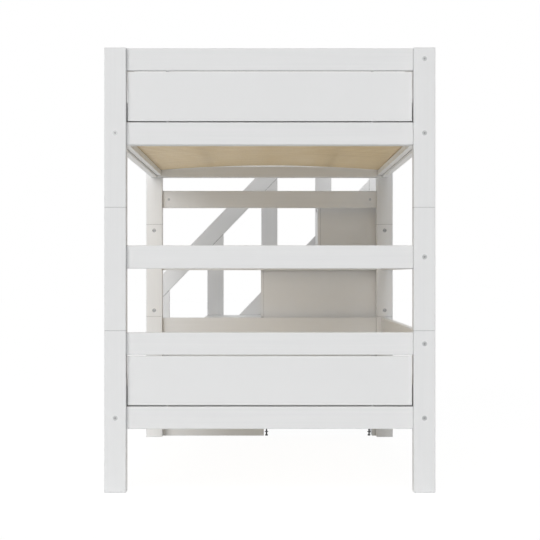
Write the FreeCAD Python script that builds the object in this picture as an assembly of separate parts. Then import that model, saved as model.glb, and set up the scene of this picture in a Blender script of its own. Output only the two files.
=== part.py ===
import FreeCAD, Part
import math
import os

# Bunk bed with storage stairs. Millimetres, +Z up, origin on the floor under the
# middle of the whole bed. +X points to the wall side, -X to the room (front) side,
# -Y to the foot end and +Y to the end where the stairs stand.

# ---------------------------------------------------------------- driving sizes
overall_width = 1020.0        # across both posts
clear_length = 2013.0         # between foot-end and stair-end posts
bed_height = 1371.0
post_side = 67.0

board_thickness = 24.0        # rails, guards, inner end boards, balusters
edge_round = 3.0
seam_chamfer = 0.8

lower_frame_bottom = 194.2    # underside of the lower end frames and side rails
end_frame_height = 298.6      # both end frames, from bottom rail to top rail
lower_post_rise = 5.7         # lower post segments, above the lower end frames
upper_leg_length = 193.8      # upper post segments, below the upper end frames
end_rail_height = 69.5
end_panel_thickness = 18.0
end_panel_gap = 3.6
end_panel_dowel_inset = 126.0
middle_rail_lift = 1.2        # above the middle between the two seams
middle_rail_height = 72.0
tie_rail_drop = 54.2          # clear space below the upper end frame
tie_rail_height = 71.0
guard_rail_height = 69.5
side_rail_height = 134.0
access_board_height = 45.0     # inner end board beside the way to the stairs

access_width = 320.0          # way through the stair end to the upper bunk
access_post_width = 67.0

cleat_lift = 7.6              # above the underside of the side rail
cleat_width = 19.5
cleat_height = 21.0
cleat_joint_from_foot = 1126.0
cleat_joint_gap = 2.0
slat_count = 28
slat_width = 53.0
slat_thickness = 8.0
slat_rise = 19.5
slat_end_clearance = 2.0

bolt_shank = 8.0
bolt_head = 15.0
bolt_head_depth = 4.0
bolt_hex = 6.0
bolt_hex_depth = 2.5
bolt_bite = 58.0              # shank length inside the rail
side_rail_bolt_height = 35.0  # above the underside of the side rail
tie_bolt_bite = 34.0
barrel_nut_diameter = 10.0
barrel_nut_offset = 26.0      # from the rail end
bore_clearance = 0.2
dowel_diameter = 8.0
dowel_length = 36.0
dowel_spacing = 36.0
segment_pin_diameter = 12.0
segment_pin_length = 60.0
lock_screw_diameter = 15.0
lock_screw_offset = 25.0      # from the seam
lock_screw_sink = 2.0
lock_screw_slot = 2.5
lock_screw_slot_depth = 2.0

stair_depth = 454.0           # along Y, between the posts and the balusters
step_count = 4
top_step_drop = 86.0          # top step, below the upper end frame
tread_thickness = 22.0
upright_width = 71.0          # balusters, handrail, slanted rail
stair_board = 16.0
stair_back_thickness = 12.0
front_thickness = 12.0        # drawer fronts
toe_clearance = 45.0          # under the rear base box
base_floor_height = 12.0      # underside of the floor of the front base box

foot_inset = 11.4
foot_stem = 6.0
foot_pad = 12.0
foot_pad_height = 5.0
foot_flange_edge = 0.5        # from the faces of the board above
foot_flange_height = 15.0
foot_flange_thickness = 3.0
foot_stem_bite = 20.0

drawer_back_gap = 18.5        # behind the box of the lowest drawer
top_drawer_back_gap = 13.2
drawer_top_gap = 15.0         # above the lowest drawer's kickers
drawer_wall = 12.0
drawer_bottom_thickness = 6.0
drawer_bottom_lift = 8.0
drawer_front_gap = 2.0
drawer_side_gap = 0.8
running_gap = 0.3
runner_width = 18.0
runner_height = 10.0
kicker_height = 6.0
notch_width = 110.0
notch_depth = 26.0
notch_round = 12.0

screw_head = 10.0
screw_shank = 5.0
screw_head_depth = 3.0
screw_length = 36.0
screw_edge = 45.0             # from the end of an upright
screw_recess = (6.0, 1.5)     # length and width of each arm of the cross
screw_recess_depth = 1.5

# ---------------------------------------------------------------- derived places
half_width = overall_width / 2
post_inner_x = half_width - post_side
rail_line_x = half_width - post_side / 2
side_rail_inner_x = rail_line_x - board_thickness / 2
total_length = clear_length + 2 * post_side + stair_depth + board_thickness
foot_outer_y = -total_length / 2
foot_inner_y = foot_outer_y + post_side
stair_inner_y = foot_inner_y + clear_length
stair_outer_y = stair_inner_y + post_side
rail_recess = (post_side - board_thickness) / 2
foot_rail_y = foot_outer_y + rail_recess
stair_rail_y = stair_inner_y + rail_recess
upper_frame_bottom = bed_height - end_frame_height
lower_seam_height = lower_frame_bottom + end_frame_height + lower_post_rise
upper_seam_height = upper_frame_bottom - upper_leg_length
middle_rail_bottom = (lower_seam_height + upper_seam_height) / 2 + middle_rail_lift
tie_rail_bottom = upper_frame_bottom - tie_rail_drop - tie_rail_height

cabinet_outer_y = stair_outer_y + stair_depth
outer_layer_y = cabinet_outer_y + board_thickness
step_pitch = (overall_width - upright_width) / step_count
step_rise = (upper_frame_bottom - top_step_drop) / step_count
slope = step_rise / step_pitch
slant_height = upright_width * math.hypot(1, slope)
riser_x = [-half_width + step * step_pitch for step in range(step_count)]
front_back_x = [x + front_thickness for x in riser_x]
tread_top = [(step + 1) * step_rise for step in range(step_count)]
cabinet_back_x = half_width - upright_width - stair_back_thickness
base_split_x = front_back_x[2]
inside_low_y = stair_outer_y + stair_board
inside_high_y = cabinet_outer_y - stair_board

drawer_depth = base_split_x - stair_board - drawer_back_gap - front_back_x[0]
top_drawer_depth = cabinet_back_x - top_drawer_back_gap - front_back_x[-1]
drawer_space = tread_top[0] - tread_thickness - base_floor_height - stair_board
drawer_wall_height = (drawer_space - runner_height - kicker_height - 2 * running_gap
                      - drawer_top_gap)

SIDES = ("front", "wall")
parts = {}
bores = []


# ---------------------------------------------------------------- shape helpers
def box(x0, x1, y0, y1, z0, z1):
    return Part.makeBox(x1 - x0, y1 - y0, z1 - z0, FreeCAD.Vector(x0, y0, z0))


def on_side(side, x):
    """A distance from the middle of the bed, as X on the chosen side."""
    return -x if side == "front" else x


def mirrored(side, x0, x1, y0, y1, z0, z1):
    """A box given on the wall side, put on the chosen side of the bed."""
    ends = sorted((on_side(side, x0), on_side(side, x1)))
    return box(ends[0], ends[1], y0, y1, z0, z1)


def eased(solid, axis, radius=edge_round):
    """Round the edges that run along one axis, as a planer eases a board."""
    along = []
    for edge in solid.Edges:
        step = edge.lastVertex().Point - edge.firstVertex().Point
        if abs(abs(step.dot(axis)) - step.Length) < 1e-6:
            along.append(edge)
    return solid.makeFillet(radius, along)


ALONG_X = FreeCAD.Vector(1, 0, 0)
ALONG_Y = FreeCAD.Vector(0, 1, 0)
ALONG_Z = FreeCAD.Vector(0, 0, 1)


def rod(diameter, start, direction, length):
    return Part.makeCylinder(diameter / 2, length, FreeCAD.Vector(*start), direction)


def upright_prism(points, y0, y1):
    """A board cut to an outline in the XZ plane, with its thickness along Y."""
    corners = [FreeCAD.Vector(x, y0, z) for x, z in points]
    outline = Part.makePolygon(corners + corners[:1])
    return Part.Face(outline).extrude(FreeCAD.Vector(0, y1 - y0, 0))


def add(name, *solids):
    parts.setdefault(name, []).extend(solids)


def pin(name, diameter, start, direction, length):
    """A round pin and the bore that it sits in."""
    add(name, rod(diameter, start, direction, length))
    bores.append(rod(diameter + bore_clearance, start, direction, length))


def drilled(solid):
    """Cut the bores that run into this piece."""
    near = [bore for bore in bores if bore.BoundBox.intersect(solid.BoundBox)]
    return solid.cut(near) if near else solid


# ---------------------------------------------------------------- fasteners
def bolt(name, head_face, direction, length):
    """A flush hex-socket bolt whose head face lies at head_face."""
    face = FreeCAD.Vector(*head_face)
    head = rod(bolt_head, face, direction, bolt_head_depth)
    shank = rod(bolt_shank, face, direction, length)
    socket_tool = Part.makePolygon(
        [FreeCAD.Vector(*hex_corner(index)) for index in range(7)])
    turn = FreeCAD.Rotation(ALONG_Z, direction)
    socket_tool = Part.Face(socket_tool).extrude(ALONG_Z * bolt_hex_depth)
    socket_tool.Placement = FreeCAD.Placement(face, turn)
    add(name, head.fuse(shank).removeSplitter().cut(socket_tool))
    bores.append(rod(bolt_head + bore_clearance, face, direction, bolt_head_depth))
    bores.append(rod(bolt_shank + bore_clearance, face, direction, length))


def hex_corner(index):
    radius = bolt_hex / math.sqrt(3)
    angle = math.radians(60 * index)
    return radius * math.cos(angle), radius * math.sin(angle), 0


def rail_bolts(x, z):
    """Bolts through the foot-end and stair-end posts into one long rail."""
    length = post_side + bolt_bite
    bolt("frame_fasteners", (x, foot_outer_y, z), ALONG_Y, length)
    bolt("frame_fasteners", (x, stair_outer_y, z), -ALONG_Y, length)


def end_rail_dowels(y, z0, z1, x_ends=None):
    """Two dowels at each end of a rail that stands between two posts."""
    middle = (z0 + z1) / 2
    for x in x_ends or (-post_inner_x, post_inner_x):
        for lift in (-dowel_spacing / 2, dowel_spacing / 2):
            start = (x - dowel_length / 2, y + board_thickness / 2, middle + lift)
            pin("wood_dowels", dowel_diameter, start, ALONG_X, dowel_length)


# ---------------------------------------------------------------- posts
def post_segment(side, y0, z0, z1, free_top=False):
    solid = mirrored(side, post_inner_x, half_width, y0, y0 + post_side, z0, z1)
    solid = eased(solid, ALONG_Z)
    seams = []
    for edge in solid.Edges:
        low = abs(edge.BoundBox.ZMax - z0) < 1e-6
        high = abs(edge.BoundBox.ZMin - z1) < 1e-6 and not free_top
        if low or high:
            seams.append(edge)
    solid = solid.makeChamfer(seam_chamfer, seams)
    if free_top:
        rim = [edge for edge in solid.Edges if abs(edge.BoundBox.ZMin - z1) < 1e-6]
        solid = solid.makeFillet(edge_round / 2, rim)
    return solid


def lock_screw(x, face_y, z, direction):
    """A slotted screw, sunk into the inner face, that holds a segment pin."""
    face = FreeCAD.Vector(x, face_y, z)
    reach = (post_side - segment_pin_diameter) / 2
    bores.append(rod(lock_screw_diameter + bore_clearance, face, direction, reach))
    head = face + direction * lock_screw_sink
    screw = rod(lock_screw_diameter, head, direction, reach - lock_screw_sink)
    slot = Part.makeBox(lock_screw_diameter, 2 * lock_screw_slot_depth, lock_screw_slot)
    slot.translate(head - FreeCAD.Vector(lock_screw_diameter / 2, lock_screw_slot_depth,
                                         lock_screw_slot / 2))
    add("frame_fasteners", screw.cut(slot))


def make_posts():
    ends = {"foot": (foot_outer_y, foot_inner_y, -ALONG_Y),
            "stair": (stair_inner_y, stair_inner_y, ALONG_Y)}
    lock_heights = {lower_seam_height: lower_seam_height + lock_screw_offset,
                    upper_seam_height: upper_seam_height - lock_screw_offset}
    for side in SIDES:
        x = on_side(side, rail_line_x)
        for end_name, (y0, inner_face_y, outward) in ends.items():
            label = "post_%s_%s" % (side, end_name)
            add(label + "_lower", post_segment(side, y0, 0, lower_seam_height))
            add("posts_middle", post_segment(side, y0, lower_seam_height,
                                             upper_seam_height))
            add(label + "_upper", post_segment(side, y0, upper_seam_height,
                                               bed_height, free_top=True))
            for seam, lock_z in lock_heights.items():
                start = (x, y0 + post_side / 2, seam - segment_pin_length / 2)
                pin("frame_fasteners", segment_pin_diameter, start, ALONG_Z,
                    segment_pin_length)
                lock_screw(x, inner_face_y, lock_z, outward)


# ---------------------------------------------------------------- end frames
def end_rail(name, y, z0, height, x0=-post_inner_x, x1=post_inner_x):
    add(name, eased(box(x0, x1, y, y + board_thickness, z0, z0 + height), ALONG_X))
    end_rail_dowels(y, z0, z0 + height, (x0, x1))


def end_frame(prefix, y, z0, open_to_x=None):
    """Top rail, inset panel and bottom rail; the panel hangs on dowels."""
    high_x = post_inner_x if open_to_x is None else open_to_x
    top_z = z0 + end_frame_height - end_rail_height
    end_rail(prefix + "_bottom_rail", y, z0, end_rail_height)
    end_rail(prefix + "_top_rail", y, top_z, end_rail_height, x1=high_x)
    panel_y = y + (board_thickness - end_panel_thickness) / 2
    panel_z0 = z0 + end_rail_height + end_panel_gap
    panel_z1 = top_z - end_panel_gap
    panel = box(-post_inner_x + end_panel_gap, high_x - end_panel_gap,
                panel_y, panel_y + end_panel_thickness, panel_z0, panel_z1)
    add(prefix + "_panel", eased(panel, ALONG_X, edge_round / 2))
    for x in (-post_inner_x + end_panel_dowel_inset, high_x - end_panel_dowel_inset):
        for gap_middle in (panel_z0 - end_panel_gap / 2, panel_z1 + end_panel_gap / 2):
            start = (x, y + board_thickness / 2, gap_middle - dowel_length / 2)
            pin("wood_dowels", dowel_diameter, start, ALONG_Z, dowel_length)


def make_end_frames():
    access_x = post_inner_x - access_width
    end_frame("foot_upper", foot_rail_y, upper_frame_bottom)
    end_frame("foot_lower", foot_rail_y, lower_frame_bottom)
    end_rail("foot_middle_rail", foot_rail_y, middle_rail_bottom, middle_rail_height)
    end_frame("stair_end_upper", stair_rail_y, upper_frame_bottom,
              open_to_x=access_x - access_post_width)
    end_frame("stair_end_lower", stair_rail_y, lower_frame_bottom)
    end_rail("stair_end_middle_rail", stair_rail_y, middle_rail_bottom,
             middle_rail_height)
    make_access_post(access_x)
    make_tie_rail()


def make_access_post(access_x):
    """Short post beside the way to the stairs, standing on the bottom rail."""
    bottom = upper_frame_bottom + end_rail_height
    post = box(access_x - access_post_width, access_x, stair_rail_y,
               stair_rail_y + board_thickness, bottom, bed_height)
    add("stair_end_access_post", eased(post, ALONG_Z))
    for shift in (-dowel_spacing / 2, dowel_spacing / 2):
        start = (access_x - access_post_width / 2 + shift,
                 stair_rail_y + board_thickness / 2, bottom - dowel_length / 2)
        pin("wood_dowels", dowel_diameter, start, ALONG_Z, dowel_length)


def make_tie_rail():
    """Rail bolted between the stair-end posts, with barrel nuts in its face."""
    z1 = tie_rail_bottom + tie_rail_height
    rail = box(-post_inner_x, post_inner_x, stair_rail_y,
               stair_rail_y + board_thickness, tie_rail_bottom, z1)
    add("stair_end_tie_rail", eased(rail, ALONG_X))
    middle_z = (tie_rail_bottom + z1) / 2
    middle_y = stair_rail_y + board_thickness / 2
    for side in SIDES:
        inward = ALONG_X * on_side(side, -1)
        barrel_x = on_side(side, post_inner_x - barrel_nut_offset)
        barrel = rod(barrel_nut_diameter, (barrel_x, stair_rail_y, middle_z), ALONG_Y,
                     board_thickness)
        head_face = (on_side(side, half_width), middle_y, middle_z)
        bolt("frame_fasteners", head_face, inward, post_side + tie_bolt_bite)
        through = rod(bolt_shank + bore_clearance, head_face, inward,
                      post_side + tie_bolt_bite)
        add("frame_fasteners", barrel.cut(through))
        bores.append(rod(barrel_nut_diameter + bore_clearance,
                         (barrel_x, stair_rail_y, middle_z), ALONG_Y, board_thickness))


# ---------------------------------------------------------------- long rails
def long_rail(name, side, z0, height, bolt_height=None):
    x = on_side(side, rail_line_x)
    low_x = side_rail_inner_x
    rail = mirrored(side, low_x, low_x + board_thickness, foot_inner_y, stair_inner_y,
                    z0, z0 + height)
    add(name, eased(rail, ALONG_Y))
    if bolt_height is None:
        for y in (foot_inner_y, stair_inner_y):
            for lift in (-dowel_spacing / 2, dowel_spacing / 2):
                start = (x, y - dowel_length / 2, z0 + height / 2 + lift)
                pin("wood_dowels", dowel_diameter, start, ALONG_Y, dowel_length)
    else:
        rail_bolts(x, z0 + bolt_height)


def make_long_rails():
    for level, z0 in (("upper", upper_frame_bottom), ("lower", lower_frame_bottom)):
        for side in SIDES:
            long_rail("side_rail_%s_%s" % (level, side), side, z0,
                      side_rail_height, side_rail_bolt_height)
    guard_z = bed_height - guard_rail_height
    long_rail("guard_rail_front", "front", guard_z, guard_rail_height)
    long_rail("guard_rail_wall", "wall", guard_z, guard_rail_height,
              guard_rail_height / 2)
    long_rail("back_rail_middle", "wall", middle_rail_bottom,
              middle_rail_height, middle_rail_height / 2)
    lower_top = lower_frame_bottom + end_frame_height
    long_rail("back_rail_lower", "wall", lower_top - guard_rail_height,
              guard_rail_height, guard_rail_height / 2)


# ---------------------------------------------------------------- sleeping levels
def make_inner_end_boards():
    foot_y = foot_inner_y
    stair_y = stair_inner_y - board_thickness
    for y0, z0, height in ((foot_y, upper_frame_bottom, side_rail_height),
                           (stair_y, upper_frame_bottom, access_board_height),
                           (foot_y, lower_frame_bottom, side_rail_height),
                           (stair_y, lower_frame_bottom, side_rail_height)):
        plank = box(-side_rail_inner_x, side_rail_inner_x, y0, y0 + board_thickness,
                    z0, z0 + height)
        add("inner_end_boards", eased(plank, ALONG_X))


def make_cleats():
    low_y = foot_inner_y + board_thickness
    high_y = stair_inner_y - board_thickness
    joint_y = foot_outer_y + cleat_joint_from_foot
    whole = [(low_y, high_y)]
    halves = [(low_y, joint_y - cleat_joint_gap / 2),
              (joint_y + cleat_joint_gap / 2, high_y)]
    for frame_bottom in (upper_frame_bottom, lower_frame_bottom):
        z0 = frame_bottom + cleat_lift
        for side, runs in (("front", whole), ("wall", halves)):
            for y0, y1 in runs:
                cleat = mirrored(side, side_rail_inner_x - cleat_width,
                                 side_rail_inner_x, y0, y1, z0, z0 + cleat_height)
                add("slat_cleats", eased(cleat, ALONG_Y, edge_round / 2))


def slat(y0, z0):
    """A sprung slat: bowed upwards, with its ends on the cleats."""
    reach = side_rail_inner_x - slat_end_clearance

    def corner(x, z):
        return FreeCAD.Vector(x, y0, z)

    under = Part.Arc(corner(-reach, z0), corner(0, z0 + slat_rise), corner(reach, z0))
    z1 = z0 + slat_thickness
    over = Part.Arc(corner(reach, z1), corner(0, z1 + slat_rise), corner(-reach, z1))
    outline = Part.Wire([under.toShape(),
                         Part.LineSegment(corner(reach, z0), corner(reach, z1)).toShape(),
                         over.toShape(),
                         Part.LineSegment(corner(-reach, z1), corner(-reach, z0)).toShape()])
    return Part.Face(outline).extrude(FreeCAD.Vector(0, slat_width, 0))


def make_slats():
    low_y = foot_inner_y + board_thickness
    run = clear_length - 2 * board_thickness
    pitch = run / slat_count
    for level, frame_bottom in (("upper", upper_frame_bottom),
                                ("lower", lower_frame_bottom)):
        for index in range(slat_count):
            y0 = low_y + (index + 0.5) * pitch - slat_width / 2
            add("slats_" + level, slat(y0, frame_bottom + cleat_lift + cleat_height))


# ---------------------------------------------------------------- stair carcass
def row_floor(step):
    """Top of what the row of one step stands on."""
    return tread_top[step - 1] if step else base_floor_height + stair_board


def make_stair_sides():
    for name, y0 in (("stair_inner_sides", stair_outer_y),
                     ("stair_outer_sides", cabinet_outer_y - stair_board)):
        for step in range(step_count):
            top = tread_top[step] - tread_thickness
            low_x = front_back_x[step]
            if step == 0:
                add(name, box(low_x, base_split_x, y0, y0 + stair_board, 0, top))
                add(name, box(base_split_x, cabinet_back_x, y0, y0 + stair_board,
                              toe_clearance, top))
            else:
                add(name, box(low_x, cabinet_back_x, y0, y0 + stair_board,
                              tread_top[step - 1], top))


def make_treads():
    for step in range(step_count):
        last = step == step_count - 1
        back_x = half_width if last else cabinet_back_x
        tread = box(riser_x[step], back_x, stair_outer_y, cabinet_outer_y,
                    tread_top[step] - tread_thickness, tread_top[step])
        add("stair_tread_%d" % (step + 1), eased(tread, ALONG_Y, edge_round / 2))


def make_stair_inside():
    top = tread_top[0] - tread_thickness
    name = "stair_base_boards"
    divider_x = base_split_x - stair_board
    add(name, box(front_back_x[0], divider_x, inside_low_y, inside_high_y,
                  base_floor_height, base_floor_height + stair_board))
    add(name, box(divider_x, base_split_x, inside_low_y, inside_high_y, 0, top))
    add(name, box(base_split_x, base_split_x + stair_board, inside_low_y,
                  inside_high_y, toe_clearance, top))
    add(name, box(base_split_x + stair_board, cabinet_back_x, inside_low_y,
                  inside_high_y, toe_clearance, toe_clearance + stair_board))
    add("stair_back_panel", box(cabinet_back_x, cabinet_back_x + stair_back_thickness,
                                stair_outer_y, cabinet_outer_y, 0,
                                tread_top[-1] - tread_thickness))


def make_levelling_feet():
    for x in (base_split_x + foot_inset, cabinet_back_x - foot_inset):
        for y in (stair_outer_y + stair_board / 2, cabinet_outer_y - stair_board / 2):
            pad = rod(foot_pad, (x, y, 0), ALONG_Z, foot_pad_height)
            stem = rod(foot_stem, (x, y, 0), ALONG_Z, toe_clearance + foot_stem_bite)
            flange = rod(stair_board - 2 * foot_flange_edge, (x, y, foot_flange_height),
                         ALONG_Z, foot_flange_thickness)
            add("levelling_feet", pad.fuse([stem, flange]).removeSplitter())
            bores.append(rod(foot_stem + bore_clearance, (x, y, toe_clearance), ALONG_Z,
                             foot_stem_bite))


# ---------------------------------------------------------------- balustrade
def handrail_underside(x):
    start_x = half_width - upright_width - step_pitch
    return bed_height + slope * (x - start_x) - slant_height


def slanted_rail_underside(x):
    return tread_top[0] + slope * (x - riser_x[1])


def cross_recess(x, y, z):
    length, width = screw_recess
    bottom = y - screw_recess_depth
    level = box(x - length / 2, x + length / 2, bottom, y, z - width / 2, z + width / 2)
    upright = box(x - width / 2, x + width / 2, bottom, y, z - length / 2, z + length / 2)
    return level.fuse(upright)


def upright_screws(x0, z_list):
    for z in z_list:
        start = (x0 + upright_width / 2, outer_layer_y, z)
        head = rod(screw_head, start, -ALONG_Y, screw_head_depth)
        shank = rod(screw_shank, start, -ALONG_Y, screw_length)
        screw = head.fuse(shank).removeSplitter()
        add("frame_fasteners", screw.cut(cross_recess(*start)))
        bores.append(rod(screw_head + bore_clearance, start, -ALONG_Y, screw_head_depth))
        bores.append(rod(screw_shank + bore_clearance, start, -ALONG_Y, screw_length))


def make_balustrade():
    y0 = cabinet_outer_y
    upright_x = riser_x + [half_width - upright_width]
    for index, x0 in enumerate(upright_x):
        x1 = x0 + upright_width
        if index < step_count - 1:
            tops = handrail_underside(x0), handrail_underside(x1)
        else:
            tops = bed_height, bed_height
        outline = [(x0, 0), (x1, 0), (x1, tops[1]), (x0, tops[0])]
        upright = upright_prism(outline, y0, outer_layer_y)
        add("stair_uprights", eased(upright, ALONG_Z))
        step_top = tread_top[min(index, step_count - 1)] - tread_thickness
        upright_screws(x0, (toe_clearance + screw_edge, step_top - screw_edge))
    stile = box(half_width - upright_width, half_width, stair_outer_y,
                stair_outer_y + board_thickness, 0, tread_top[-1] - tread_thickness)
    add("stair_uprights", stile)

    low_x = upright_x[0]
    high_x = upright_x[-2]
    handrail = upright_prism([(low_x, handrail_underside(low_x)),
                              (high_x, handrail_underside(high_x)),
                              (high_x, bed_height),
                              (low_x, handrail_underside(low_x) + slant_height)],
                             y0, outer_layer_y)
    along_slope = FreeCAD.Vector(1, 0, slope).normalize()
    add("stair_handrail", eased(handrail, along_slope))
    top_rail = box(high_x + upright_width, upright_x[-1], y0, outer_layer_y,
                   bed_height - upright_width, bed_height)
    add("stair_handrail", eased(top_rail, ALONG_X))
    for left, right in zip(upright_x, upright_x[1:]):
        x0 = left + upright_width
        low = slanted_rail_underside(x0)
        high = slanted_rail_underside(right)
        rail = upright_prism([(x0, low), (right, high), (right, high + slant_height),
                              (x0, low + slant_height)], y0, outer_layer_y)
        add("stair_slanted_rail", eased(rail, along_slope))


# ---------------------------------------------------------------- drawers
def notched_front(x0, y0, y1, z0, z1):
    """A drawer front with a rounded finger notch in its top edge."""
    plain = eased(box(x0, x0 + front_thickness, y0, y1, z0, z1), ALONG_Y,
                  edge_round / 2)
    middle = (y0 + y1) / 2
    notch = box(x0 - 1, x0 + front_thickness + 1, middle - notch_width / 2,
                middle + notch_width / 2, z1 - notch_depth, z1 + notch_depth)
    notch = eased(notch, ALONG_X, notch_round)
    return plain.cut(notch)


def make_drawers():
    for step in range(step_count):
        last = step == step_count - 1
        depth = top_drawer_depth if last else drawer_depth
        name = "drawer_%d" % (step + 1)
        inner_x = front_back_x[step]
        floor = row_floor(step)
        ceiling = tread_top[step] - tread_thickness
        front_z0 = tread_top[step - 1] + drawer_front_gap if step else drawer_front_gap
        add(name + "_front",
            notched_front(riser_x[step], stair_outer_y + drawer_front_gap,
                          cabinet_outer_y - drawer_front_gap, front_z0,
                          ceiling - drawer_front_gap))
        wall_z0 = floor + runner_height + running_gap
        wall_z1 = wall_z0 + drawer_wall_height
        low_y = inside_low_y + drawer_side_gap
        high_y = inside_high_y - drawer_side_gap
        back_x = inner_x + depth
        for y0 in (low_y, high_y - drawer_wall):
            add(name + "_box", box(inner_x, back_x, y0, y0 + drawer_wall, wall_z0, wall_z1))
        add(name + "_box", box(back_x - drawer_wall, back_x, low_y + drawer_wall,
                               high_y - drawer_wall, wall_z0, wall_z1))
        bottom_z = wall_z0 + drawer_bottom_lift
        add(name + "_box", box(inner_x, back_x - drawer_wall, low_y + drawer_wall,
                               high_y - drawer_wall, bottom_z,
                               bottom_z + drawer_bottom_thickness))
        for y0 in (inside_low_y, inside_high_y - runner_width):
            y1 = y0 + runner_width
            run_x0 = inner_x + drawer_front_gap
            add("drawer_runners", box(run_x0, back_x, y0, y1, floor, floor + runner_height))
            kicker_z = wall_z1 + running_gap
            add("drawer_runners", box(run_x0, back_x, y0, y1, kicker_z,
                                      kicker_z + kicker_height))


# ---------------------------------------------------------------- build and write
make_posts()
make_end_frames()
make_long_rails()
make_inner_end_boards()
make_cleats()
make_slats()
make_stair_sides()
make_treads()
make_stair_inside()
make_levelling_feet()
make_balustrade()
make_drawers()

UNDRILLED = ("frame_fasteners", "wood_dowels", "levelling_feet", "slats_upper",
             "slats_lower", "drawer_runners")

os.makedirs("parts", exist_ok=True)
for node, solids in parts.items():
    if node not in UNDRILLED and not node.startswith("drawer_"):
        solids = [drilled(solid) for solid in solids]
    shape = solids[0] if len(solids) == 1 else Part.makeCompound(solids)
    shape.exportStep("parts/%s.step" % node)
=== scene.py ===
import math

import bmesh
import bpy
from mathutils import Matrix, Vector


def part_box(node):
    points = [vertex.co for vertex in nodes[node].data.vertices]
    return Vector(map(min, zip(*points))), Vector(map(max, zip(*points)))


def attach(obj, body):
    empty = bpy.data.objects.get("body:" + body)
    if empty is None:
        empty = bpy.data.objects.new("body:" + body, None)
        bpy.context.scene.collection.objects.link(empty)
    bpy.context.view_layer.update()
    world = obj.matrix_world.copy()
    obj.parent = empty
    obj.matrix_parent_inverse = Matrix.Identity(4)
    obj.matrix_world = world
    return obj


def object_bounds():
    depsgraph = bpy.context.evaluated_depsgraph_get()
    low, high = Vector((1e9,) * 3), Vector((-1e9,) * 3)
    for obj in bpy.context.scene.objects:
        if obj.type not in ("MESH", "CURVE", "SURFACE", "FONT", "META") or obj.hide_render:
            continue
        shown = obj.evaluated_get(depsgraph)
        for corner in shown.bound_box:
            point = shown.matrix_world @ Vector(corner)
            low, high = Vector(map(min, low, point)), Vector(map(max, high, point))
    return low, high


# Looks of the bunk bed with storage stairs. Metres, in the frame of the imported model:
# -Y is the foot end that the camera faces, -X the room side, +X the wall side.

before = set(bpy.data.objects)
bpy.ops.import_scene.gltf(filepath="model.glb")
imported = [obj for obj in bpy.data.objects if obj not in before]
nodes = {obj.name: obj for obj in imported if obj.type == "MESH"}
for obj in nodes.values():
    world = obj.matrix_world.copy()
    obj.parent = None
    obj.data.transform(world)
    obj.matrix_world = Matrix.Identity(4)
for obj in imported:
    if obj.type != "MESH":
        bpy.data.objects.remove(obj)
cad_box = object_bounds()
scene = bpy.context.scene

WHITE = (1.0, 1.0, 1.0)


# ---------------------------------------------------------------- node helpers
# A Mix node has sockets of the same names for each type of value. These are the places
# of the ones for colours.
MIX_COLOUR_A = 6
MIX_COLOUR_B = 7
MIX_COLOUR_RESULT = 2


def start_material(name):
    """A new material with its node tree and its main shader."""
    material = bpy.data.materials.new(name)
    material.use_nodes = True
    tree = material.node_tree
    return material, tree, tree.nodes["Principled BSDF"]


def node(tree, kind, **settings):
    """A new node, with each setting given to the input or the property of that name."""
    made = tree.nodes.new(kind)
    for key, value in settings.items():
        if key in made.inputs:
            made.inputs[key].default_value = value
        else:
            setattr(made, key, value)
    return made


def math_node(tree, operation, *values):
    """One operation on numbers and on other nodes' outputs."""
    made = node(tree, "ShaderNodeMath", operation=operation)
    for socket, value in zip(made.inputs, values):
        if isinstance(value, (int, float)):
            socket.default_value = value
        else:
            tree.links.new(value, socket)
    return made.outputs["Value"]


def ramp(tree, factor, stops):
    """A colour looked up by factor between stops of a position and a colour each."""
    made = tree.nodes.new("ShaderNodeValToRGB")
    band = made.color_ramp
    while len(band.elements) < len(stops):
        band.elements.new(0.5)
    for element, (position, colour) in zip(band.elements, stops):
        element.position = position
        element.color = (*colour, 1.0)
    tree.links.new(factor, made.inputs["Fac"])
    return made.outputs["Color"]


def map_range(tree, value, low, high, start=0.0, end=1.0):
    """From low at start to high at end, and no further either way."""
    made = node(tree, "ShaderNodeMapRange")
    made.inputs["From Min"].default_value = start
    made.inputs["From Max"].default_value = end
    made.inputs["To Min"].default_value = low
    made.inputs["To Max"].default_value = high
    tree.links.new(value, made.inputs["Value"])
    return made.outputs["Result"]


def multiplied(tree, colour, tint, factor=1.0):
    """The colour times the tint, or a mix of that and the plain colour."""
    made = node(tree, "ShaderNodeMix", data_type="RGBA", blend_type="MULTIPLY")
    made.inputs["Factor"].default_value = factor
    tree.links.new(colour, made.inputs[MIX_COLOUR_A])
    tree.links.new(tint, made.inputs[MIX_COLOUR_B])
    return made.outputs[MIX_COLOUR_RESULT]


def object_point(tree):
    return tree.nodes.new("ShaderNodeTexCoord").outputs["Object"]


def components(tree, point):
    """The X, Y and Z of a point."""
    split = tree.nodes.new("ShaderNodeSeparateXYZ")
    tree.links.new(point, split.inputs["Vector"])
    return split.outputs


def noise(tree, point, scale, detail=4.0, roughness=0.55, distortion=0.0):
    made = node(tree, "ShaderNodeTexNoise", Scale=scale, Detail=detail,
                Roughness=roughness, Distortion=distortion)
    tree.links.new(point, made.inputs["Vector"])
    return made.outputs["Fac"]


def bump(tree, height, strength, distance, before=None):
    made = node(tree, "ShaderNodeBump", Strength=strength, Distance=distance)
    tree.links.new(height, made.inputs["Height"])
    if before is not None:
        tree.links.new(before, made.inputs["Normal"])
    return made.outputs["Normal"]


# ---------------------------------------------------------------- grain directions
# The stairs climb along X. Each turn lays the X axis along the boards.
low_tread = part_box("stair_tread_1")[0]
next_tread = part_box("stair_tread_2")[0]
stair_angle = math.atan2(next_tread.z - low_tread.z, next_tread.x - low_tread.x)
GRAIN_TURN = {
    "x": (0, 0, 0),
    "y": (0, 0, math.pi / 2),
    "z": (0, -math.pi / 2, 0),
    "slope": (0, -stair_angle, 0),
}


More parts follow.
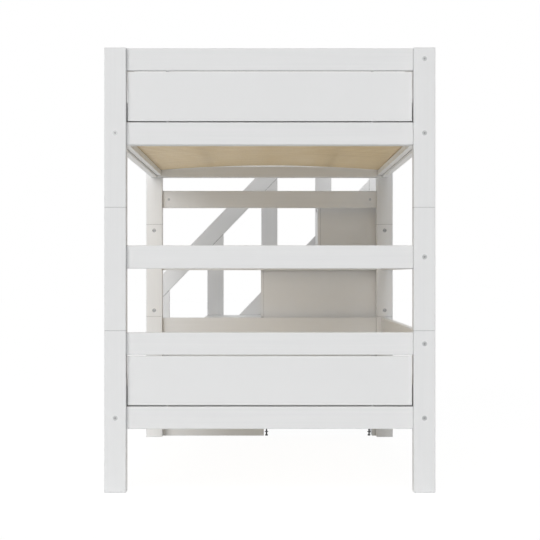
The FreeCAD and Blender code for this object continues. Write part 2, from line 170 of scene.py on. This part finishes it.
def along_grain(tree, direction, length, width):
    """Object coordinates in units of length along the board and width across it."""
    made = node(tree, "ShaderNodeMapping", vector_type="TEXTURE")
    made.inputs["Rotation"].default_value = GRAIN_TURN[direction]
    made.inputs["Scale"].default_value = (length, width, width)
    tree.links.new(object_point(tree), made.inputs["Vector"])
    return made.outputs["Vector"]


# ---------------------------------------------------------------- painted shade in gaps
# Painted shade: the colour is darkened where little open sky is near. How far a gap is
# looked for in metres, the share of open sky at which the colour is darkest and from which
# it is whole, and the tone left where it is darkest.
NARROW_GAP_SHADE = (0.025, 0.0, 0.36, 0.05)
SEAM_SHADE = (0.0015, 0.45, 0.95, 0.10)
SOCKET_SHADE = (0.005, 0.0, 0.95, 0.05)
SKY_SAMPLES = 6


def with_painted_shade(tree, colour, gap):
    """Painted shade: the colour made darker where little open sky is near, as inside a gap
    or a socket.
    """
    reach, shut, clear, tone_left = gap
    sky = node(tree, "ShaderNodeAmbientOcclusion", Distance=reach, samples=SKY_SAMPLES)
    tone = map_range(tree, sky.outputs["AO"], tone_left, 1.0, start=shut, end=clear)
    return multiplied(tree, colour, tone)


def with_painted_gap_and_seam_shade(tree, colour):
    """The paint's colour with painted shade in narrow gaps and along seams."""
    return with_painted_shade(tree, with_painted_shade(tree, colour, NARROW_GAP_SHADE), SEAM_SHADE)


# ---------------------------------------------------------------- white paint
# Darkest and lightest colour of the paint.
PLANED_PAINT = ((0.787, 0.789, 0.790), (0.812, 0.812, 0.811))
SMOOTH_PAINT = ((0.797, 0.798, 0.798), (0.811, 0.811, 0.811))


def paint_colour(tree, factor, colours):
    dark, light = colours
    return ramp(tree, factor, [(0.30, dark), (0.70, light)])


def painted(direction):
    """Satin white paint on planed wood, with the grain showing faintly through."""
    material, tree, shader = start_material("white_paint_" + direction)
    grain = noise(tree, along_grain(tree, direction, length=0.55, width=0.009),
                  scale=1.0, detail=6.0, roughness=0.6, distortion=0.4)
    broad = noise(tree, along_grain(tree, direction, length=0.9, width=0.12),
                  scale=1.0, detail=3.0)
    peel = noise(tree, object_point(tree), scale=950.0, detail=2.0)
    colour = paint_colour(tree, grain, PLANED_PAINT)
    # The colour gets painted shade in gaps and along seams.
    tree.links.new(with_painted_gap_and_seam_shade(tree, colour), shader.inputs["Base Color"])
    tree.links.new(map_range(tree, broad, low=0.40, high=0.52),
                   shader.inputs["Roughness"])
    normal = bump(tree, peel, strength=0.05, distance=0.0002)
    normal = bump(tree, grain, strength=0.10, distance=0.0004, before=normal)
    tree.links.new(normal, shader.inputs["Normal"])
    return material


def painted_smooth(name, paint_shade_in_gaps):
    """The same paint on smooth board: only the fine texture of the roller."""
    material, tree, shader = start_material(name)
    point = object_point(tree)
    broad = noise(tree, point, scale=3.5, detail=3.0)
    peel = noise(tree, point, scale=620.0, detail=3.0)
    colour = paint_colour(tree, broad, SMOOTH_PAINT)
    # Painted shade in gaps and along seams, where asked for.
    if paint_shade_in_gaps:
        colour = with_painted_gap_and_seam_shade(tree, colour)
    tree.links.new(colour, shader.inputs["Base Color"])
    tree.links.new(map_range(tree, broad, low=0.42, high=0.50),
                   shader.inputs["Roughness"])
    tree.links.new(bump(tree, peel, strength=0.07, distance=0.0003),
                   shader.inputs["Normal"])
    return material


# ---------------------------------------------------------------- birch plywood
BIRCH_DARK = (0.650, 0.495, 0.262)
BIRCH_MID = (0.775, 0.618, 0.366)
BIRCH_LIGHT = (0.850, 0.710, 0.455)
PORE_TINT = (0.86, 0.83, 0.79)
VENEER_TINT = (0.92, 0.90, 0.88)
GLUE_LINE = (0.300, 0.205, 0.115)
SLAT_VENEER = 0.0016
DRAWER_VENEER = 0.0015
VENEER_WOBBLE = 0.35           # how far the glue lines wander, as a share of a veneer
SAME_PLACE = 1e-5              # two places closer than this count as one


def birch_face(direction):
    """Birch veneer under a thin clear coat: soft streaks and fine pores along the board."""
    material, tree, shader = start_material("birch_face_" + direction)
    figure = noise(tree, along_grain(tree, direction, length=0.42, width=0.022),
                   scale=1.0, detail=5.0, roughness=0.6, distortion=1.2)
    pores = noise(tree, along_grain(tree, direction, length=0.020, width=0.0007),
                  scale=1.0, detail=3.0, roughness=0.7)
    colour = ramp(tree, figure, [(0.28, BIRCH_DARK), (0.52, BIRCH_MID),
                                 (0.76, BIRCH_LIGHT)])
    streak = ramp(tree, pores, [(0.30, PORE_TINT), (0.50, WHITE)])
    tree.links.new(multiplied(tree, colour, streak, factor=0.7),
                   shader.inputs["Base Color"])
    tree.links.new(map_range(tree, pores, low=0.36, high=0.50),
                   shader.inputs["Roughness"])
    tree.links.new(bump(tree, pores, strength=0.12, distance=0.0003),
                   shader.inputs["Normal"])
    shader.inputs["Coat Weight"].default_value = 0.15
    shader.inputs["Coat Roughness"].default_value = 0.3
    return material


def birch_edge(axis, veneer, bow=None):
    """Edge of plywood: veneers stacked along an axis, with dark glue lines.

    bow is (rise, half span) where the board arches over X.
    """
    name = "birch_edge_" + axis + ("_bowed" if bow else "")
    material, tree, shader = start_material(name)
    point = object_point(tree)
    along = components(tree, point)
    level = along[axis.upper()]
    if bow:
        rise, half_span = bow
        square = math_node(tree, "MULTIPLY", along["X"], along["X"])
        level = math_node(tree, "ADD", level,
                          math_node(tree, "MULTIPLY", square, rise / half_span ** 2))
    wobble = noise(tree, point, scale=45.0, detail=2.0)
    level = math_node(tree, "ADD", level,
                      math_node(tree, "MULTIPLY", wobble, veneer * VENEER_WOBBLE))
    phase = math_node(tree, "MULTIPLY", level, math.pi / veneer)
    wave = math_node(tree, "ABSOLUTE", math_node(tree, "SINE", phase))
    fibre = noise(tree, point, scale=700.0, detail=3.0, roughness=0.7)
    wood = ramp(tree, fibre, [(0.30, BIRCH_DARK), (0.70, BIRCH_LIGHT)])
    plies = ramp(tree, wave, [(0.06, GLUE_LINE), (0.22, VENEER_TINT)])
    tree.links.new(multiplied(tree, wood, plies, factor=0.85),
                   shader.inputs["Base Color"])
    tree.links.new(map_range(tree, fibre, low=0.50, high=0.66),
                   shader.inputs["Roughness"])
    tree.links.new(bump(tree, fibre, strength=0.20, distance=0.0003),
                   shader.inputs["Normal"])
    return material


def slat_bow(name):
    """Rise and half span of the arch that the slats of a node make."""
    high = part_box(name)[1]
    end_heights = [vertex.co.z for vertex in nodes[name].data.vertices
                   if high.x - vertex.co.x < SAME_PLACE]
    return high.z - max(end_heights), high.x


# ---------------------------------------------------------------- steel and tape
# Darkest and lightest colour, least and greatest roughness, and metallic share.
ZINC_LOOK = ((0.38, 0.385, 0.39), (0.47, 0.475, 0.48), 0.36, 0.50, 0.9)
DARK_STEEL_LOOK = ((0.030, 0.030, 0.032), (0.055, 0.055, 0.057), 0.40, 0.54, 0.2)
# The threads' spacing: of the warp across the tape, and of the weft along it.
WARP_REPEAT = 0.0022
WEFT_REPEAT = 0.0016
TAPE_DARK = (0.56, 0.55, 0.52)
TAPE_LIGHT = (0.74, 0.73, 0.70)


def steel(name, look):
    """Plated or coated steel: cloudy colour and sheen over a fine grit."""
    dark, light, smoothest, roughest, metallic = look
    material, tree, shader = start_material(name)
    point = object_point(tree)
    cloud = noise(tree, point, scale=160.0, detail=4.0, roughness=0.6)
    grit = noise(tree, point, scale=1500.0, detail=2.0)
    colour = ramp(tree, cloud, [(0.35, dark), (0.65, light)])
    # Painted shade darkens the colour in sockets and recesses.
    tree.links.new(with_painted_shade(tree, colour, SOCKET_SHADE), shader.inputs["Base Color"])
    tree.links.new(map_range(tree, cloud, low=smoothest, high=roughest),
                   shader.inputs["Roughness"])
    tree.links.new(bump(tree, grit, strength=0.15, distance=0.0002),
                   shader.inputs["Normal"])
    shader.inputs["Metallic"].default_value = metallic
    return material


def thread_wave(tree, along, repeat):
    return math_node(tree, "SINE", math_node(tree, "MULTIPLY", along,
                                             2 * math.pi / repeat))


def webbing():
    """Woven tape along Y: a check of warp threads side by side and weft across them,
    coloured lighter where a thread lies on top and darker where it dips under, which is
    painted shade.
    """
    material, tree, shader = start_material("woven_tape")
    along = components(tree, object_point(tree))
    warp = thread_wave(tree, along["X"], WARP_REPEAT)
    weft = thread_wave(tree, along["Y"], WEFT_REPEAT)
    weave = math_node(tree, "MULTIPLY", warp, weft)
    shade = math_node(tree, "MULTIPLY_ADD", weave, 0.5, 0.5)
    colour = ramp(tree, shade, [(0.0, TAPE_DARK), (0.6, TAPE_LIGHT)])
    tree.links.new(colour, shader.inputs["Base Color"])
    tree.links.new(bump(tree, weave, strength=0.6, distance=0.0004),
                   shader.inputs["Normal"])
    shader.inputs["Roughness"].default_value = 0.85
    return material


# ---------------------------------------------------------------- all the materials
PAINT = {direction: painted(direction) for direction in GRAIN_TURN}
# The boards get painted shade in gaps and along seams; the dowels get none.
PAINT["board"] = painted_smooth("white_paint_board", paint_shade_in_gaps=True)
PAINT["dowel"] = painted_smooth("white_paint_dowel", paint_shade_in_gaps=False)
SLAT_BOW = slat_bow("slats_upper")
SLAT_FACE = birch_face("x")
SLAT_EDGE = birch_edge("z", SLAT_VENEER, SLAT_BOW)
PLY_FACE = {"x": SLAT_FACE, "y": birch_face("y")}
PLY_EDGE = {axis: birch_edge(axis, DRAWER_VENEER) for axis in "xyz"}
ZINC = steel("zinc_steel", ZINC_LOOK)
DARK_STEEL = steel("dark_steel", DARK_STEEL_LOOK)
TAPE = webbing()


# ---------------------------------------------------------------- finishes of the nodes
FLAT_NORMAL = 0.7              # least Z of the normal on a slat's top or underside
PLY_EDGE_LIMIT = 0.020         # a face narrower than this is an edge of plywood


def dress(name, material):
    mesh = nodes[name].data
    mesh.materials.clear()
    mesh.materials.append(material)
    for face in mesh.polygons:
        face.material_index = 0


def dress_by_face(name, materials, choose):
    """Give each face the one of the materials that choose(normal, size) picks."""
    mesh = nodes[name].data
    mesh.materials.clear()
    for material in materials:
        mesh.materials.append(material)
    for face in mesh.polygons:
        corners = [mesh.vertices[index].co for index in face.vertices]
        size = [max(c[k] for c in corners) - min(c[k] for c in corners) for k in range(3)]
        face.material_index = materials.index(choose(face.normal, size))


def slat_finish(normal, size):
    return SLAT_FACE if abs(normal.z) > FLAT_NORMAL else SLAT_EDGE


def ply_finish(normal, size):
    """Veneer on the broad faces and stacked plies on the narrow edges."""
    facing = max(range(3), key=lambda k: abs(normal[k]))
    narrow = min((k for k in range(3) if k != facing), key=lambda k: size[k])
    if size[narrow] < PLY_EDGE_LIMIT:
        return PLY_EDGE["xyz"[narrow]]
    return PLY_FACE["y" if facing == 0 else "x"]


def grain_of(name):
    """Which way the boards of a painted node run."""
    if name in ("stair_handrail", "stair_slanted_rail"):
        return "slope"
    if name.startswith("post") or name in ("stair_uprights", "stair_end_access_post"):
        return "z"
    if name.startswith(("side_rail", "guard_rail", "back_rail")) or name == "slat_cleats":
        return "y"
    if name.endswith("_rail") or name == "inner_end_boards":
        return "x"
    return "board"


for name in nodes:
    if name.startswith("slats_"):
        dress_by_face(name, [SLAT_FACE, SLAT_EDGE], slat_finish)
    elif name.endswith("_box") or name == "drawer_runners":
        dress_by_face(name, [*PLY_FACE.values(), *PLY_EDGE.values()], ply_finish)
    elif name == "wood_dowels":
        dress(name, PAINT["dowel"])
    elif name == "frame_fasteners":
        dress(name, ZINC)
    elif name == "levelling_feet":
        dress(name, DARK_STEEL)
    else:
        dress(name, PAINT[grain_of(name)])


# ---------------------------------------------------------------- added pieces
def finish_piece(name, bm, material):
    """Turn a bmesh into a piece that rides on the bed."""
    mesh = bpy.data.meshes.new(name)
    bmesh.ops.recalc_face_normals(bm, faces=bm.faces)
    bm.to_mesh(mesh)
    bm.free()
    mesh.materials.append(material)
    piece = bpy.data.objects.new(name, mesh)
    scene.collection.objects.link(piece)
    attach(piece, "bed")


def bridge(bm, first, second):
    """Faces between two rings of equally many vertices."""
    for k in range(len(first)):
        n = (k + 1) % len(first)
        bm.faces.new((first[k], first[n], second[n], second[k]))


def close_tube(bm, rings):
    """A solid bar through rings of vertices, with flat ends."""
    for first, second in zip(rings, rings[1:]):
        bridge(bm, first, second)
    bm.faces.new(rings[0])
    bm.faces.new(list(reversed(rings[-1])))


# ---------------------------------------------------------------- slat tapes
TAPE_OFFSET = 0.24             # of each tape from the middle of the slats
TAPE_WIDTH = 0.028
TAPE_THICKNESS = 0.0011
TAPE_BULGE = 0.0002            # how much fuller its middle is on each side
TAPE_LIFT = 0.0008             # of its centre line above the slats
TAPE_SAG = 0.004               # between two slats
SAG_STEPS = 6
STAPLE_LENGTH = 0.011
STAPLE_WIRE = 0.0011
STAPLE_SHOULDER = 0.42         # from its middle to the bends, as a share of its length
STAPLE_RISE = 0.0009           # of the bar above its ends
STAPLE_LEG = 0.004
STAPLE_LIFT = 0.0019           # of the bar's ends above the slats
STAPLE_SHIFT = 0.017           # from the middle of the slat towards both edges


def slat_islands(name):
    """The middle Y, the width and the crown's height of each slat of a node.

    Vertices on one long edge of a slat share their Y to a tenth of a millimetre.
    """
    rows = {}
    for vertex in nodes[name].data.vertices:
        rows.setdefault(round(vertex.co.y, 4), []).append(vertex.co.z)
    edges = sorted(rows)
    slats = []
    for low, high in zip(edges[0::2], edges[1::2]):
        slats.append(((low + high) / 2, high - low, max(rows[low])))
    return slats


def slat_top(x, crown_z):
    rise, half_span = SLAT_BOW
    return crown_z - rise * (x / half_span) ** 2


def slat_tilt(x):
    """The slope of a slat's top, across the bed."""
    rise, half_span = SLAT_BOW
    return -2 * rise * x / half_span ** 2


def tape_path(slats, x):
    """Centre line of a tape: flat over each slat and sagging a little between them."""
    path = []
    for index, (middle, width, crown) in enumerate(slats):
        top = slat_top(x, crown) + TAPE_LIFT
        path += [(middle - width / 2, top), (middle, top), (middle + width / 2, top)]
        if index + 1 < len(slats):
            start = middle + width / 2
            span = slats[index + 1][0] - width / 2 - start
            for step in range(1, SAG_STEPS):
                share = step / SAG_STEPS
                path.append((start + span * share,
                             top - TAPE_SAG * 4 * share * (1 - share)))
    return path


def add_tape(bm, slats, x):
    """A flat band along the tape's path, a little fuller in the middle."""
    tilt = slat_tilt(x)
    rings = []
    for y, z in tape_path(slats, x):
        ring = []
        for across, up in ((-1, -1), (0, -1), (1, -1), (1, 1), (0, 1), (-1, 1)):
            dx = across * TAPE_WIDTH / 2
            bulge = TAPE_BULGE * up if across == 0 else 0.0
            ring.append(bm.verts.new((x + dx, y, z + dx * tilt + up * TAPE_THICKNESS / 2
                                      + bulge)))
        rings.append(ring)
    close_tube(bm, rings)


def add_staple(bm, x, y, z):
    """A wire staple across the tape: a bar with its two legs going down."""
    tilt = slat_tilt(x)
    right = [(STAPLE_SHOULDER, STAPLE_RISE), (0.5, 0.0), (0.5, -STAPLE_LEG)]
    left = [(-share, up) for share, up in reversed(right)]
    rings = []
    for share, up in left + right:
        dx = share * STAPLE_LENGTH
        ring = [bm.verts.new((x + dx, y + sy * STAPLE_WIRE / 2,
                              z + dx * tilt + up + sz * STAPLE_WIRE / 2))
                for sy, sz in ((-1, -1), (1, -1), (1, 1), (-1, 1))]
        rings.append(ring)
    close_tube(bm, rings)


def make_slat_tapes():
    """Two tapes on each level, with two staples in each slat."""
    for level in ("upper", "lower"):
        slats = slat_islands("slats_" + level)
        tapes = bmesh.new()
        staples = bmesh.new()
        for x in (-TAPE_OFFSET, TAPE_OFFSET):
            add_tape(tapes, slats, x)
            for middle, _, crown in slats:
                z = slat_top(x, crown) + STAPLE_LIFT
                for shift in (-STAPLE_SHIFT, STAPLE_SHIFT):
                    add_staple(staples, x, middle + shift, z)
        finish_piece("slat_tapes_" + level, tapes, TAPE)
        finish_piece("tape_staples_" + level, staples, ZINC)


# ---------------------------------------------------------------- cleat screws
HEAD_RADIUS = 0.0038
HEAD_DEPTH = 0.0022
HEAD_SIDES = 24
# Shares of the head's radius: its underside, and an arm of the cross.
HEAD_FOOT = 0.5
CROSS_ARM = 0.62
CROSS_HALF_WIDTH = 0.15
CROSS_TAPER = 0.7              # size of the recess at its bottom, as a share of its top
CROSS_DEPTH = 0.6              # as a share of the head's depth
CLEAT_SCREW_START = 0.375      # from the outer face of the foot end
CLEAT_SCREW_PITCH = 0.310
CLEAT_SCREW_COUNT = 6
CLEAT_SCREW_LIFT = 0.0075      # above the underside of the cleat
CLEAT_SCREW_PROUD = 0.0001     # how far the head stands out of the cleat


def cross_outline(arm, half):
    """The corners of a plus sign, a quarter at a time."""
    outline = []
    quarter = [(arm, -half), (arm, half), (half, half)]
    for _ in range(4):
        outline += quarter
        quarter = [(-y, x) for x, y in quarter]
    return outline


def add_screw_head(bm, centre, normal):
    """A countersunk head: a flat disc with a rim and a cross recess."""
    turn = Vector((0, 0, 1)).rotation_difference(Vector(normal)).to_matrix()
    centre = Vector(centre)

    def ring(points, size, z):
        return [bm.verts.new(centre + turn @ Vector((x * size, y * size, z)))
                for x, y in points]

    circle = []
    for k in range(HEAD_SIDES):
        angle = 2 * math.pi * k / HEAD_SIDES
        circle.append((HEAD_RADIUS * math.cos(angle), HEAD_RADIUS * math.sin(angle)))
    cross = cross_outline(HEAD_RADIUS * CROSS_ARM, HEAD_RADIUS * CROSS_HALF_WIDTH)
    rim = ring(circle, 1.0, 0.0)
    recess = ring(cross, 1.0, 0.0)
    edges = [bm.edges.new((loop[k], loop[(k + 1) % len(loop)]))
             for loop in (rim, recess) for k in range(len(loop))]
    bmesh.ops.triangle_fill(bm, use_beauty=True, use_dissolve=False, edges=edges)
    base = ring(cross, CROSS_TAPER, -HEAD_DEPTH * CROSS_DEPTH)
    bridge(bm, recess, base)
    bm.faces.new(base)
    foot = ring(circle, HEAD_FOOT, -HEAD_DEPTH)
    bridge(bm, rim, foot)
    bm.faces.new(foot)


def make_cleat_screws():
    """Screws through the inner faces of the cleats into the side rails."""
    corners = [vertex.co for vertex in nodes["slat_cleats"].data.vertices]
    head_x = min(abs(corner.x) for corner in corners) - CLEAT_SCREW_PROUD
    for level in ("upper", "lower"):
        rail_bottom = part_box("side_rail_%s_front" % level)[0].z
        cleat_bottom = min(corner.z for corner in corners if corner.z > rail_bottom)
        z = cleat_bottom + CLEAT_SCREW_LIFT
        bm = bmesh.new()
        for side in (-1, 1):
            for index in range(CLEAT_SCREW_COUNT):
                y = cad_box[0].y + CLEAT_SCREW_START + CLEAT_SCREW_PITCH * index
                add_screw_head(bm, (side * head_x, y, z), (-side, 0, 0))
        finish_piece("cleat_screws_" + level, bm, ZINC)


make_slat_tapes()
make_cleat_screws()


# ---------------------------------------------------------------- world and floor
# The weak light from all round, which the white backdrop hides where it is seen.
AMBIENT = (0.106, 0.109, 0.112)
# The floor as it lights the bed: pale, with a weak and even glow of its own.
FLOOR_COLOUR = (0.84, 0.86, 0.88)
FLOOR_GLOW = (0.220, 0.230, 0.240)
# The floor as it is seen: almost white, with little of its own colour left to shade.
FLOOR_SEEN_COLOUR = (0.10, 0.10, 0.10)
FLOOR_SEEN_GLOW = (0.95, 0.95, 0.95)
FLOOR_REACH = 40.0             # from the middle to each edge
FLOOR_DROP = 0.001             # below the feet


def seen_directly(tree):
    """1 for rays from the camera, in reflections and through glass, else 0."""
    path = tree.nodes.new("ShaderNodeLightPath")
    total = math_node(tree, "MAXIMUM", path.outputs["Is Camera Ray"],
                      path.outputs["Is Glossy Ray"])
    return math_node(tree, "MAXIMUM", total, path.outputs["Is Transmission Ray"])


def make_world():
    """An even ambient light, and a white backdrop where the world is seen."""
    world = bpy.data.worlds.new("studio")
    world.use_nodes = True
    scene.world = world
    tree = world.node_tree
    tree.nodes.clear()
    background = tree.nodes.new("ShaderNodeBackground")
    tree.links.new(ramp(tree, seen_directly(tree), [(0.0, AMBIENT), (1.0, WHITE)]),
                   background.inputs["Color"])
    output = tree.nodes.new("ShaderNodeOutputWorld")
    tree.links.new(background.outputs[0], output.inputs["Surface"])


def make_floor():
    """A pale floor that looks almost white and keeps a faint shadow of the bed."""
    bm = bmesh.new()
    bmesh.ops.create_grid(bm, x_segments=2, y_segments=2, size=FLOOR_REACH)
    mesh = bpy.data.meshes.new("floor")
    bm.to_mesh(mesh)
    bm.free()
    floor = bpy.data.objects.new("floor", mesh)
    floor.location.z = -FLOOR_DROP
    scene.collection.objects.link(floor)
    material, tree, shader = start_material("pale_floor")
    shader.inputs["Roughness"].default_value = 0.9
    shader.inputs["Specular IOR Level"].default_value = 0.0
    shader.inputs["Emission Strength"].default_value = 1.0
    seen = seen_directly(tree)
    tree.links.new(ramp(tree, seen, [(0.0, FLOOR_COLOUR), (1.0, FLOOR_SEEN_COLOUR)]),
                   shader.inputs["Base Color"])
    tree.links.new(ramp(tree, seen, [(0.0, FLOOR_GLOW), (1.0, FLOOR_SEEN_GLOW)]),
                   shader.inputs["Emission Color"])
    mesh.materials.append(material)


# ---------------------------------------------------------------- lamps
# Name, place, point aimed at, side and power of each softbox.
SOFTBOXES = (
    ("high_left", (-2.5, -0.2, 2.4), (0.2, 0.7, 0.7), 2.0, 20.0),
)
# Name, direction that the light comes from, strength and spread in degrees.
FAR_LIGHTS = (
    ("front_left", (-0.32, -0.88, 0.26), 0.94, 25.0),
    ("high_front", (0.0, -0.70, 0.70), 0.99, 30.0),
    ("back", (0.0, 1.0, 0.40), 0.50, 90.0),
    ("wall_side", (0.90, 0.30, 0.35), 0.35, 60.0),
)
LAMP_COLOUR = (1.0, 0.988, 0.974)


def hang_lamp(name, light, towards, place=(0.0, 0.0, 0.0)):
    light.color = LAMP_COLOUR
    lamp = bpy.data.objects.new(name, light)
    lamp.location = place
    lamp.rotation_mode = "QUATERNION"
    lamp.rotation_quaternion = Vector(towards).to_track_quat("-Z", "Y")
    lamp.visible_camera = False
    scene.collection.objects.link(lamp)


def make_lights():
    for name, place, aim, side, power in SOFTBOXES:
        light = bpy.data.lights.new(name, "AREA")
        light.size = side
        light.energy = power
        hang_lamp(name, light, Vector(aim) - Vector(place), place)
    for name, direction, strength, spread in FAR_LIGHTS:
        light = bpy.data.lights.new(name, "SUN")
        light.energy = strength
        light.angle = math.radians(spread)
        hang_lamp(name, light, -Vector(direction))


# ---------------------------------------------------------------- camera
# It looks level along +Y from about half the bed's height, as in the photo. The shifts
# are shares of the picture's width, the lens and the sensor are in millimetres.
CAMERA_PLACE = (-0.0047, -7.3815, 0.6716)
CAMERA_SHIFT_X = 0.00315
CAMERA_SHIFT_Y = 0.00833
LENS = 131.4
SENSOR_WIDTH = 36.0
CLIP_END = 200.0


def make_camera():
    data = bpy.data.cameras.new("camera")
    data.sensor_width = SENSOR_WIDTH
    data.lens = LENS
    data.shift_x = CAMERA_SHIFT_X
    data.shift_y = CAMERA_SHIFT_Y
    data.clip_end = CLIP_END
    camera = bpy.data.objects.new("camera", data)
    camera.location = CAMERA_PLACE
    camera.rotation_euler = (math.pi / 2, 0, 0)
    scene.collection.objects.link(camera)
    scene.camera = camera


make_world()
make_floor()
make_lights()
make_camera()
scene.view_settings.view_transform = "Standard"

bpy.context.view_layer.update()
